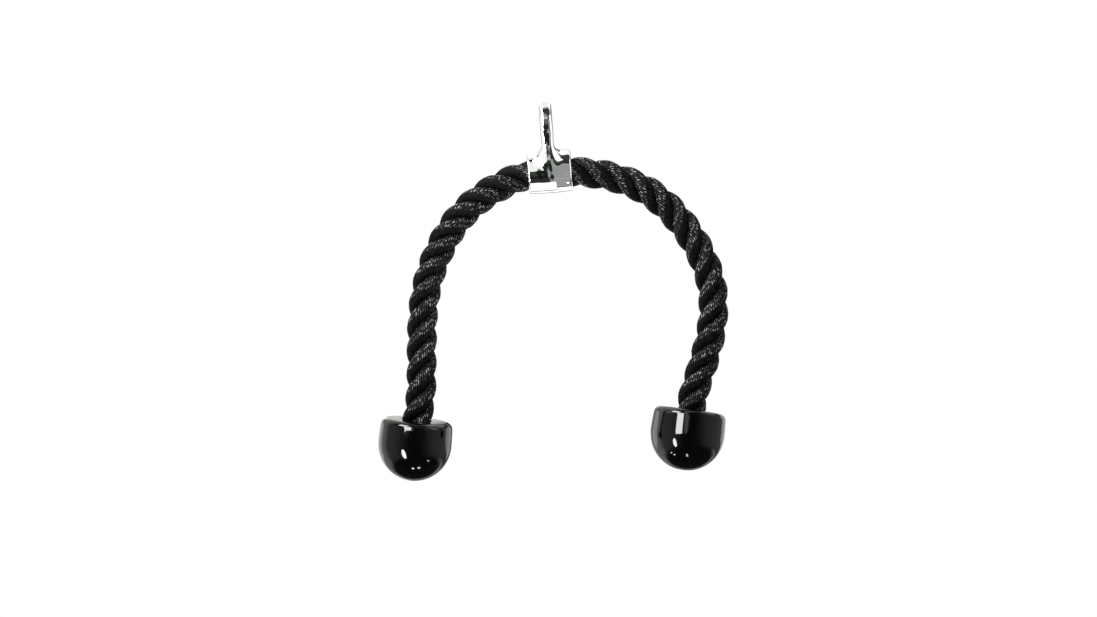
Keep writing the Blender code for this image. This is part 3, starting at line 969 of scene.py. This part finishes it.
    @staticmethod
    def _map(
        mesh: bpy.types.Mesh, quads: Array, caps: list[Array], ring: Array, count: int
    ) -> None:
        """Maps each corner to its share of the way round and its reach along the rope.

        Args:
            mesh: The tube.
            quads: The corners of its side.
            caps: The corners of its two ends.
            ring: The reach of each ring.
            count: How many columns there are.
        """
        row, column = quads // count, quads % count
        share = column / count
        wraps = (column.max(axis=1) == count - 1) & (column.min(axis=1) == 0)
        share = np.where(wraps[:, None] & (column == 0), 1.0, share)
        sides = np.stack([share, ring[row]], axis=-1).reshape(-1, 2)
        ends = [np.full((cap.size, 2), (0.5, ring[edge])) for cap, edge in zip(caps, (0, -1))]
        layer = mesh.uv_layers.new(name="yarns")
        layer.uv.foreach_set("vector", np.vstack([sides, *ends]).astype(np.float32).ravel())


# ---- Eye fitting ----


def round_cut(first: Array, second: Array, radius: float) -> Array:
    """The distance to what two shapes share, with the edge between them rounded."""
    corner = np.hypot(np.maximum(first + radius, 0.0), np.maximum(second + radius, 0.0))
    return np.minimum(np.maximum(first, second), -radius) + corner


def round_join(first: Array, second: Array, radius: Any) -> Array:
    """The distance to two shapes together, with a fillet of this radius between them."""
    corner = np.hypot(np.maximum(radius - first, 0.0), np.maximum(radius - second, 0.0))
    return np.maximum(np.minimum(first, second), radius) - corner


@dataclass
class EyeFitting:
    """The chromed casting: barrel sleeve, neck and eye, all smooth. Sizes are in millimetres."""

    node: str = "eye_fitting"
    body: str = "fitting"
    eye_height: float = 47.0
    sleeve_half: float = 21.75
    sleeve_radius: float = 21.2
    crown: float = 0.8
    rim: float = 1.8
    bore_drop: float = 49.0
    bore_radius: float = 15.3
    bore_rounding: float = 0.8
    eye_radius: float = 22.0
    hole_radius: float = 11.0
    half_thickness: tuple[float, float] = (6.25, 5.75)
    taper: tuple[float, float] = (-22.0, -8.0)
    edge_rounding: float = 4.0
    neck_half_width: float = 17.0
    neck_reach: tuple[float, float] = (-36.0, -9.0)
    waist_fillet: float = 7.0
    fillets: tuple[float, float] = (7.0, 12.0)
    screw_place: float = 9.0
    screw_hole_radius: float = 3.2
    screw_rounding: float = 0.5
    polish_waves: int = 9
    polish_lengths: tuple[float, float] = (6.0, 14.0)
    polish_depth: float = 0.012
    voxel: float = 0.00044
    rounds: int = 3
    smoothings: int = 2
    relaxings: int = 4
    longest_step: float = 0.6
    least_slope: float = 0.2
    probe: float = 0.01
    seed: int = 5

    def polish(self, points: Array) -> Array:
        """The slight unevenness that hand polishing leaves, in millimetres.

        Args:
            points: The points, in millimetres.

        Returns:
            The height at each of them.
        """
        chance = np.random.default_rng(self.seed)
        height = np.zeros(len(points))
        for _ in range(self.polish_waves):
            heading = unit(chance.normal(size=3))
            length = chance.uniform(*self.polish_lengths)
            phase = chance.uniform(0.0, math.tau)
            height += self.polish_depth * np.sin(points @ heading * (math.tau / length) + phase)
        return height

    def distance(self, points: Array) -> Array:
        """How far outside the casting each point is, in millimetres.

        Args:
            points: The points, in millimetres.

        Returns:
            The distances, below 0 inside.
        """
        x, y, z = points.T
        across = np.hypot(y, z + self.eye_height)
        side = across - (self.sleeve_radius - self.crown * (x / self.sleeve_half) ** 2)
        barrel = round_cut(side, np.abs(x) - self.sleeve_half, self.rim)
        out = np.hypot(y, z)
        low, high = self.neck_reach
        wide = np.abs(y) - self.neck_half_width
        tall = np.abs(z - (low + high) / 2) - (high - low) / 2
        waist = np.hypot(np.maximum(wide, 0.0), np.maximum(tall, 0.0))
        waist = waist + np.minimum(np.maximum(wide, tall), 0.0)
        outline = round_join(out - self.eye_radius, waist, self.waist_fillet)
        thick, thin = self.half_thickness
        half = thin + (thick - thin) * smoothstep(z, *self.taper)
        upper = round_cut(outline, np.abs(x) - half, self.edge_rounding)
        upper = round_cut(upper, self.hole_radius - out, self.edge_rounding)
        share = smoothstep(np.abs(y), self.neck_half_width * 0.35, self.neck_half_width)
        flank, front = self.fillets
        solid = round_join(barrel, upper, flank + (front - flank) * share)
        solid = solid + self.polish(points)
        bore = np.hypot(y, z + self.bore_drop) - self.bore_radius
        solid = round_cut(solid, -bore, self.bore_rounding)
        hole = np.hypot(np.abs(x) - self.screw_place, z + self.bore_drop) - self.screw_hole_radius
        hole = np.maximum(hole, -y)
        return round_cut(solid, -hole, self.screw_rounding)

    def slope(self, points: Array) -> Array:
        """The direction in which the distance grows, by small steps either way.

        Args:
            points: The points, in millimetres.

        Returns:
            The slope at each of them.
        """
        sides = [np.eye(3)[k] * self.probe for k in range(3)]
        grown = [self.distance(points + side) - self.distance(points - side) for side in sides]
        return np.stack(grown, axis=1) / (2.0 * self.probe)

    def draw_on(self, points: Array) -> Array:
        """Moves the points onto the smooth shape, by Newton's method.

        Args:
            points: The points, in millimetres.

        Returns:
            The moved points.
        """
        for _ in range(self.rounds):
            slope = self.slope(points)
            steep = np.maximum((slope**2).sum(1), self.least_slope)
            step = self.distance(points) / steep
            step = np.clip(step, -self.longest_step, self.longest_step)
            points = points - slope * step[:, None]
        return points

    def build(self, finish: bpy.types.Material) -> None:
        """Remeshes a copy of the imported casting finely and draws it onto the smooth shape.

        Args:
            finish: The casting's material.
        """
        source = packed_node(self.node)
        rough = bpy.data.objects.new("fitting_rough", source.data.copy())
        rough.matrix_world = source.matrix_world
        bpy.context.scene.collection.objects.link(rough)
        voxels = rough.modifiers.new("voxels", "REMESH")
        voxels.mode = "VOXEL"
        voxels.voxel_size = self.voxel
        graph = bpy.context.evaluated_depsgraph_get()
        mesh = bpy.data.meshes.new_from_object(rough.evaluated_get(graph))
        mesh.transform(rough.matrix_world)
        bpy.data.objects.remove(rough)
        mesh.name = "eye_casting"
        count = len(mesh.vertices)
        places = np.empty(count * 3)
        mesh.vertices.foreach_get("co", places)
        pairs = np.empty(len(mesh.edges) * 2, np.int64)
        mesh.edges.foreach_get("vertices", pairs)
        first, second = pairs.reshape(-1, 2).T
        beside = np.bincount(pairs, minlength=count)[:, None]
        points = self.draw_on(places.reshape(-1, 3) / MM)
        for _ in range(self.smoothings):
            for _ in range(self.relaxings):
                sums = [
                    np.bincount(first, points[second, k], count)
                    + np.bincount(second, points[first, k], count)
                    for k in range(3)
                ]
                points = 0.5 * points + 0.5 * np.stack(sums, axis=1) / beside
            points = self.draw_on(points)
        mesh.vertices.foreach_set("co", (points * MM).ravel())
        mesh.update()
        mesh.shade_smooth()
        mesh.normals_split_custom_set_from_vertices(unit(self.slope(points)).tolist())
        off = float(np.abs(self.distance(points)).max())
        piece = add_piece("eye_casting", mesh, finish)
        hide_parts(self.node)
        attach(piece, self.body)
        LOG.info("eye_casting: %d faces, %.3f mm off its shape at most", len(mesh.polygons), off)


# ---- Stoppers ----


@dataclass
class Stopper:
    """A moulded bell on the rope's end: a flat face with the rope's hole, a wall and a dome."""

    side: Side
    centre: Place
    up: Place
    radius: float = 0.037
    shoulder: float = 0.0242
    side_radius: float = 0.200
    rim: float = 0.007
    mouth: float = 0.001
    bore: float = 0.0153
    neck_depth: float = 0.010
    pocket_radius: float = 0.0183
    pocket_depth: float = 0.0326
    segments: int = 176
    rim_steps: int = 14
    side_steps: int = 16
    dome_steps: int = 44
    ripple: float = 0.00005
    ripple_rate: float = 130.0
    face_crown: float = 0.0003

    def outline(self) -> list[tuple[float, float]]:
        """The bell's outline, from its pocket over its face and side to its lowest point.

        Returns:
            Its points, each as a radius and a height.
        """
        centre = self.radius - self.side_radius
        reach = self.side_radius - self.rim
        across = math.sqrt(reach**2 - (self.shoulder - self.rim) ** 2)
        tangent = math.degrees(math.atan2(self.shoulder - self.rim, across))
        inside = [
            (0.0, -self.pocket_depth),
            (self.pocket_radius, -self.pocket_depth),
            (self.pocket_radius, -self.neck_depth),
            (self.bore, -self.neck_depth),
        ]
        inside += arc((self.bore + self.mouth, -self.mouth), self.mouth, 180, 90, 6)
        rim = arc((centre + across, -self.rim), self.rim, 90, tangent, self.rim_steps)
        inner, outer = inside[-1][0], rim[0][0]
        face = [(inner + (outer - inner) * share, 0.0) for share in np.linspace(0.1, 0.9, 9)]
        side = arc((centre, -self.shoulder), self.side_radius, tangent, 0, self.side_steps)
        dome = arc((0.0, -self.shoulder), self.radius, 0, -90, self.dome_steps)
        dome[-1] = (0.0, dome[-1][1])
        crowned = []
        for out, height in inside + face:
            rise = max(0.0, 1.0 - (out / outer) ** 2) if height > -self.neck_depth else 0.0
            crowned.append((out, height + self.face_crown * rise))
        return crowned + rim + side[1:] + dome[1:]

    def build(self, finish: bpy.types.Material) -> None:
        """Turns the outline, adds the mould's faint ripple, and sets the bell on its leg.

        Args:
            finish: The bell's material.
        """
        bm = bmesh.new()
        outline = self.outline()
        corners = [bm.verts.new((radius, 0.0, height)) for radius, height in outline]
        edges = [bm.edges.new(pair) for pair in zip(corners, corners[1:])]
        bmesh.ops.spin(
            bm,
            geom=corners + edges,
            cent=(0.0, 0.0, 0.0),
            axis=(0.0, 0.0, 1.0),
            angle=math.tau,
            steps=self.segments,
            use_merge=True,
        )
        near = 0.00001
        poles = [v for v in bm.verts if math.hypot(v.co.x, v.co.y) < near]
        bmesh.ops.remove_doubles(bm, verts=poles, dist=near)
        for vertex in bm.verts:
            out = math.hypot(vertex.co.x, vertex.co.y)
            if out > self.pocket_radius + self.mouth:
                angle = math.atan2(vertex.co.y, vertex.co.x)
                wave = math.sin(3 * angle + 1.3) * math.sin(vertex.co.z * self.ripple_rate + angle)
                vertex.co.xy = vertex.co.xy * (1.0 + self.ripple * wave / out)
        bmesh.ops.recalc_face_normals(bm, faces=bm.faces)
        mesh = bpy.data.meshes.new(f"{self.side.value}_bell")
        bm.to_mesh(mesh)
        bm.free()
        mesh.shade_smooth()
        mesh.set_sharp_from_angle(angle=math.radians(40))
        turn = Vector(self.up).to_track_quat("Z", "Y").to_matrix().to_4x4()
        mesh.transform(Matrix.Translation(self.centre) @ turn)
        piece = add_piece(f"{self.side.value}_bell", mesh, finish)
        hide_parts(f"{self.side.value}_stopper")
        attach(piece, f"{self.side.value}_tail")
        LOG.info("%s: %d faces", piece.name, len(mesh.polygons))


# ---- Small steel parts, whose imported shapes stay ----


@dataclass
class PackedParts:
    """CAD nodes that keep their shape and get a finish."""

    nodes: tuple[str, ...]

    def dress(self, finish: bpy.types.Material) -> None:
        """Puts the finish on each node.

        Args:
            finish: The finish.
        """
        for name in self.nodes:
            materials = packed_node(name).data.materials
            materials.clear()
            materials.append(finish)
            LOG.info("%s: packed shape, new finish", name)


# ---- Studio ----


@dataclass(frozen=True)
class Lamp:
    """One area lamp, aimed at the middle of the object unless it says otherwise."""

    name: str
    place: Place
    size: tuple[float, float]
    power: float
    aim: Place = (0.0, 0.0, -0.18)
    use: LampUse = LampUse.BOTH
    kind: LampKind = LampKind.SOFTBOX

    def build(self) -> None:
        """Makes the lamp."""
        data = bpy.data.lights.new(self.name, "AREA")
        data.shape = self.kind.value
        data.size, data.size_y = self.size
        data.energy = self.power
        lamp = bpy.data.objects.new(self.name, data)
        bpy.context.scene.collection.objects.link(lamp)
        lamp.visible_camera = False
        lamp.visible_diffuse, lamp.visible_glossy = self.use.value
        lamp.location = self.place
        lamp.rotation_mode = "QUATERNION"
        heading = Vector(self.aim) - Vector(self.place)
        lamp.rotation_quaternion = heading.to_track_quat("-Z", "Y")


def card(
    name: str,
    place: Place,
    size: tuple[float, float],
    power: float,
    aim: Place,
    kind: LampKind = LampKind.SOFTBOX,
) -> Lamp:
    """A lamp that gloss and metal mirror, and that lights nothing else."""
    return Lamp(name, place, size, power, aim, LampUse.MIRRORED, kind)


@dataclass(frozen=True)
class Surroundings:
    """The studio round the object: white to the camera, with shapes in it for gloss and metal.

    A direction is read as two angles in degrees. "Aside" is how far it leans to the right, and
    "up" is how far it is turned from the camera's side over the top, from -180 to 180.
    """

    dark: Colour = (0.003, 0.006, 0.003)
    dim: Colour = (0.045, 0.056, 0.040)
    tint: Colour = (0.97, 1.0, 0.95)
    ambient: tuple[float, float] = (0.03, 0.45)
    edge: float = 1.6
    wobble: tuple[float, float] = (4.0, 16.0)
    slant: tuple[float, float] = (8.6, 39.0)
    slant_from: float = 4.0

    def build(self) -> None:
        """Makes the world."""
        world = bpy.data.worlds.new("studio_world")
        bpy.context.scene.world = world
        world.use_nodes = True
        sheet = NodeSheet(world.node_tree)
        path = sheet.add("ShaderNodeLightPath").outputs
        seen = sheet.calc("ADD", path["Is Camera Ray"], path["Is Transmission Ray"], clamp=True)
        direction = sheet.add("ShaderNodeTexCoord").outputs["Generated"]
        x, y, z = sheet.xyz(direction)
        mirrored = self._rear(sheet, self._front(sheet, direction, (x, y, z)), (x, y, z))
        low, high = (rgba((value,) * 3) for value in self.ambient)
        ambient = sheet.mix(sheet.remap(z, -0.5, 0.9), low, high)
        soft = sheet.mix(path["Is Glossy Ray"], ambient, mirrored)
        ground = world.node_tree.nodes["Background"]
        sheet.feed(ground.inputs["Color"], sheet.mix(seen, soft, (1.0, 1.0, 1.0, 1.0)))
        ground.inputs["Strength"].default_value = 1.0

    def _within(self, sheet: NodeSheet, angle: Any, low: Any, high: Any) -> Any:
        """A mask of the angles between two others, with a soft edge.

        Args:
            sheet: The world's node sheet.
            angle: The angle to read.
            low: The least angle.
            high: The greatest angle.

        Returns:
            The mask, 1 between them.
        """
        above = sheet.calc("SUBTRACT", angle, low)
        below = sheet.calc("SUBTRACT", high, angle)
        nearest = sheet.calc("MINIMUM", above, below)
        return sheet.remap(nearest, -self.edge, self.edge)

    def _grey(self, value: float) -> tuple[float, float, float, float]:
        """A grey with the slight green of the room."""
        return rgba(tuple(value * part for part in self.tint))

    def _lay(self, sheet: NodeSheet, under: Any, value: float, *masks: Any) -> Any:
        """Lays a grey over what is there, where all the masks meet.

        Args:
            sheet: The world's node sheet.
            under: What is there.
            value: How bright the grey is.
            masks: Where it goes.

        Returns:
            The colour with the grey on it.
        """
        share = masks[0]
        for mask in masks[1:]:
            share = sheet.calc("MULTIPLY", share, mask)
        return sheet.mix(share, under, self._grey(value))

    def _angles(self, sheet: NodeSheet, direction: Any, parts: tuple[Any, ...]) -> tuple[Any, Any]:
        """Reads a direction as two angles, a little unsteady as on a hand-polished casting.

        Args:
            sheet: The world's node sheet.
            direction: The direction.
            parts: Its X, Y and Z.

        Returns:
            The angle aside and the angle up, in degrees.
        """
        x, y, z = parts
        noise = {"Vector": direction, "Scale": 7.0, "Detail": 3.0}
        shifts = sheet.xyz(sheet.add("ShaderNodeTexNoise", noise).outputs["Color"])
        bounded = sheet.calc("MAXIMUM", sheet.calc("MINIMUM", x, 0.9999), -0.9999)
        turns = [sheet.calc("ARCSINE", bounded)]
        turns.append(sheet.calc("ARCTAN2", z, sheet.calc("MULTIPLY", y, -1.0)))
        angles = []
        for turn, shift, reach in zip(turns, shifts, self.wobble):
            steady = sheet.calc("MULTIPLY", turn, 180.0 / math.pi)
            shift = sheet.calc("SUBTRACT", shift, 0.5)
            angles.append(sheet.calc("MULTIPLY_ADD", shift, reach, steady))
        return angles[0], angles[1]

    def _front(self, sheet: NodeSheet, direction: Any, parts: tuple[Any, ...]) -> Any:
        """The dim room on the camera's side, with its white wedge and the strips beside it.

        Args:
            sheet: The world's node sheet.
            direction: The direction.
            parts: Its X, Y and Z.

        Returns:
            The colour in that direction.
        """
        z = parts[2]
        aside, up = self._angles(sheet, direction, parts)
        murk = sheet.remap(sheet.noise(direction, 9.0, 4.0, 0.6), 0.42, 0.62)
        room = sheet.mix(murk, rgba(self.dark), rgba(self.dim))
        outward = sheet.remap(sheet.calc("ABSOLUTE", aside), 14.0, 70.0)
        room = sheet.mix(outward, room, self._grey(0.40))
        room = self._lay(sheet, room, 0.03, sheet.remap(z, -0.50, -0.72))
        slant = sheet.calc("MULTIPLY_ADD", aside, *self.slant)
        slant = sheet.calc("MAXIMUM", slant, self.slant_from)
        wedge = self._within(sheet, aside, -15.0, -1.0)
        room = self._lay(sheet, room, 1.0, wedge, self._within(sheet, up, slant, 72.0))
        mottled = sheet.remap(sheet.noise(direction, 26.0, 3.0), 0.46, 0.62)
        strip = self._within(sheet, aside, -3.0, 0.8)
        room = self._lay(sheet, room, 0.50, mottled, strip, self._within(sheet, up, 8.0, 70.0))
        strip = self._within(sheet, aside, 3.5, 10.0)
        room = self._lay(sheet, room, 0.04, strip, self._within(sheet, up, 40.0, 98.0))
        return self._lay(sheet, room, 0.04, sheet.remap(z, 0.80, 0.90))

    def _rear(self, sheet: NodeSheet, room: Any, parts: tuple[Any, ...]) -> Any:
        """The white wall behind the object, with the grey and dark shapes on it.

        Args:
            sheet: The world's node sheet.
            room: The rest of the room.
            parts: The direction's X, Y and Z.

        Returns:
            The colour in that direction.
        """
        x, y, z = parts
        level = sheet.remap(sheet.calc("ABSOLUTE", z), 0.60, 0.45)
        right = sheet.calc("MULTIPLY", sheet.remap(x, 0.10, 0.30), level)
        backward = sheet.calc("MULTIPLY_ADD", right, -0.9, y)
        high = sheet.remap(z, -0.72, -0.50)
        room = self._lay(sheet, room, 1.0, sheet.remap(backward, -0.02, 0.30), high)
        left = sheet.calc("MULTIPLY", sheet.remap(x, -0.15, -0.30), sheet.remap(y, 0.50, 0.65))
        room = self._lay(sheet, room, 0.60, left, level)
        far = sheet.remap(y, 0.78, 0.86)
        room = self._lay(sheet, room, 0.25, far, sheet.remap(x, -0.02, 0.03), level)
        middle = sheet.remap(sheet.calc("ABSOLUTE", x), 0.30, 0.20)
        under = sheet.calc("MULTIPLY", sheet.remap(z, -0.03, -0.12), middle)
        room = self._lay(sheet, room, 0.45, sheet.remap(y, 0.70, 0.80), under)
        shaded = sheet.calc("MAXIMUM", sheet.remap(x, -0.02, 0.01), sheet.remap(z, 0.13, 0.09))
        far = sheet.remap(y, 0.95, 0.98)
        return self._lay(sheet, room, 0.04, far, shaded, sheet.remap(z, -0.05, -0.02))


@dataclass
class Studio:
    """A pale floor far below the object, its surroundings and soft lamps."""

    floor_height: float = -1.0
    floor_size: float = 5.6
    lamps: tuple[Lamp, ...] = (
        Lamp("key", (-0.76, -0.65, 1.20), (0.70, 0.70), 24.0),
        Lamp("fill", (1.9, -1.3, 0.2), (2.0, 1.6), 2.5, use=LampUse.SHINES),
        Lamp("top", (-0.3, -0.2, 1.7), (1.4, 1.0), 6.0, use=LampUse.SHINES),
        Lamp("rear_left", (-1.35, 0.95, -0.1), (0.9, 1.5), 5.0, use=LampUse.SHINES),
        Lamp("rear_right", (1.35, 0.95, -0.1), (0.9, 1.5), 5.0, use=LampUse.SHINES),
        Lamp("tall_strip", (-0.655, -1.286, 0.375), (0.58, 1.20), 37.0, use=LampUse.MIRRORED),
        card(
            "low_spot", (-0.643, -0.717, -0.70), (0.20, 0.48), 5.2, (-0.02, 0.0, -0.31),
            LampKind.ROUND,
        ),
        card("glint_left", (-0.194, -0.080, -0.623), (0.03, 0.03), 0.05, (-0.156, -0.024, -0.331)),
        card("glint_right", (-0.115, -0.081, -0.623), (0.03, 0.03), 0.05, (-0.150, -0.024, -0.331)),
        card("glint_low", (0.079, -0.150, -0.62), (0.022, 0.055), 0.05, (0.114, -0.036, -0.337)),
        card("back_left", (-0.48, 0.35, -0.31), (0.54, 0.38), 0.77, (-0.48, 0.0, -0.31)),
        card("back_right", (0.42, 0.35, -0.31), (0.66, 0.38), 0.94, (0.42, 0.0, -0.31)),
        Lamp("card_over_left", (-0.072, 0.12, 0.15), (0.12, 0.34), 0.11, (-0.072, 0.12, 0.0)),
        Lamp("card_over_right", (0.075, 0.17, 0.15), (0.12, 0.26), 0.085, (0.075, 0.17, 0.0)),
        Lamp(
            "card_under_left", (-0.04, -0.004, -0.22), (0.104, 0.192), 0.077, (-0.04, -0.004, 0.0)
        ),
        Lamp("card_under_back", (-0.04, 0.186, -0.22), (0.104, 0.128), 0.051, (-0.04, 0.186, 0.0)),
        Lamp("card_under_right", (0.052, 0.14, -0.22), (0.08, 0.22), 0.07, (0.052, 0.14, 0.0)),
        card("card_left", (-0.12, -0.085, -0.03), (0.15, 0.32), 0.16, (0.0, 0.0, -0.03)),
        card("card_right", (0.13, -0.085, -0.03), (0.15, 0.32), 0.16, (0.0, 0.0, -0.03)),
        card("card_front", (0.030, -0.20, -0.083), (0.054, 0.333), 0.0174, (0.030, 0.0, -0.083)),
        card("card_low", (0.030, -0.095, -0.25), (0.054, 0.23), 0.0120, (0.030, -0.095, 0.0)),
    )

    def build(self) -> None:
        """Makes the floor, the world and the lamps."""
        bm = bmesh.new()
        bmesh.ops.create_grid(bm, x_segments=8, y_segments=8, size=self.floor_size / 2)
        mesh = bpy.data.meshes.new("studio_floor")
        bm.to_mesh(mesh)
        bm.free()
        floor = add_piece("studio_floor", mesh, FloorPaint().build())
        floor.location = (0.0, 0.0, self.floor_height)
        floor.visible_glossy = False
        Surroundings().build()
        for lamp in self.lamps:
            lamp.build()


LEFT_LEG = RopeLine(
    side=Side.LEFT,
    route=(
        (-0.0400, 0.0, -0.0045),
        (-0.0580, 0.0, -0.0120),
        (-0.0750, 0.0, -0.0220),
        (-0.0910, 0.0, -0.0350),
        (-0.1150, 0.0, -0.0670),
        (-0.1310, 0.0, -0.1040),
        (-0.1385, 0.0003, -0.1430),
        (-0.1420, 0.0012, -0.1820),
        (-0.1473, 0.0030, -0.2220),
        (-0.1507, 0.0038, -0.2361),
    ),
    end_heading=(-0.174, 0.056, -0.983),
    crowns=(
        (0.0, -1.74), (0.0408, 0.0), (0.1095, 3.0), (0.1762, 6.0), (0.2460, 9.0),
        (0.2930, 11.0), (0.35, 13.4),
    ),
)
RIGHT_LEG = RopeLine(
    side=Side.RIGHT,
    route=(
        (0.0400, 0.0, -0.0022),
        (0.0590, 0.0, -0.0068),
        (0.0775, 0.0, -0.0140),
        (0.0950, 0.0, -0.0240),
        (0.1235, 0.0, -0.0525),
        (0.1433, 0.0, -0.0870),
        (0.1533, 0.0, -0.1255),
        (0.1504, -0.0003, -0.1645),
        (0.1382, -0.0012, -0.2020),
        (0.1232, -0.0030, -0.2454),
    ),
    end_heading=(-0.208, -0.044, -0.977),
    crowns=(
        (0.0, -1.26), (0.031, 0.0), (0.1035, 3.0), (0.1745, 6.0), (0.2460, 9.0),
        (0.3185, 12.0), (0.38, 14.6),
    ),
)
LEFT_FACE = (-0.1507, 0.0038, -0.2851)
RIGHT_FACE = (0.1232, -0.0030, -0.2944)


def main() -> None:
    """Builds the camera, the rope, the fitting, the stoppers and the studio, in that order."""
    logging.basicConfig(level=logging.INFO, format="%(name)s: %(message)s", stream=sys.stdout)
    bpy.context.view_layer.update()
    bpy.context.scene.view_settings.view_transform = "Standard"
    groups = NodeGroups()
    PictureCamera().build()
    rope = LaidRope([LEFT_LEG, RIGHT_LEG])
    rope.build(RopeYarn(rope.yarns, rope.twist).build())
    EyeFitting().build(ChromePlate().build(groups))
    gloss = GlossMould().build(groups)
    Stopper(Side.LEFT, LEFT_FACE, (0.174026, -0.056008, 0.983147)).build(gloss)
    Stopper(Side.RIGHT, RIGHT_FACE, (0.208028, 0.044006, 0.977132)).build(gloss)
    PackedParts(("grub_screw_left", "grub_screw_right")).dress(BlackOxide().build(groups))
    PackedParts(("left_ferrule", "right_ferrule")).dress(ZincSteel().build(groups))
    Studio().build()


if __name__ == "__main__":
    main()
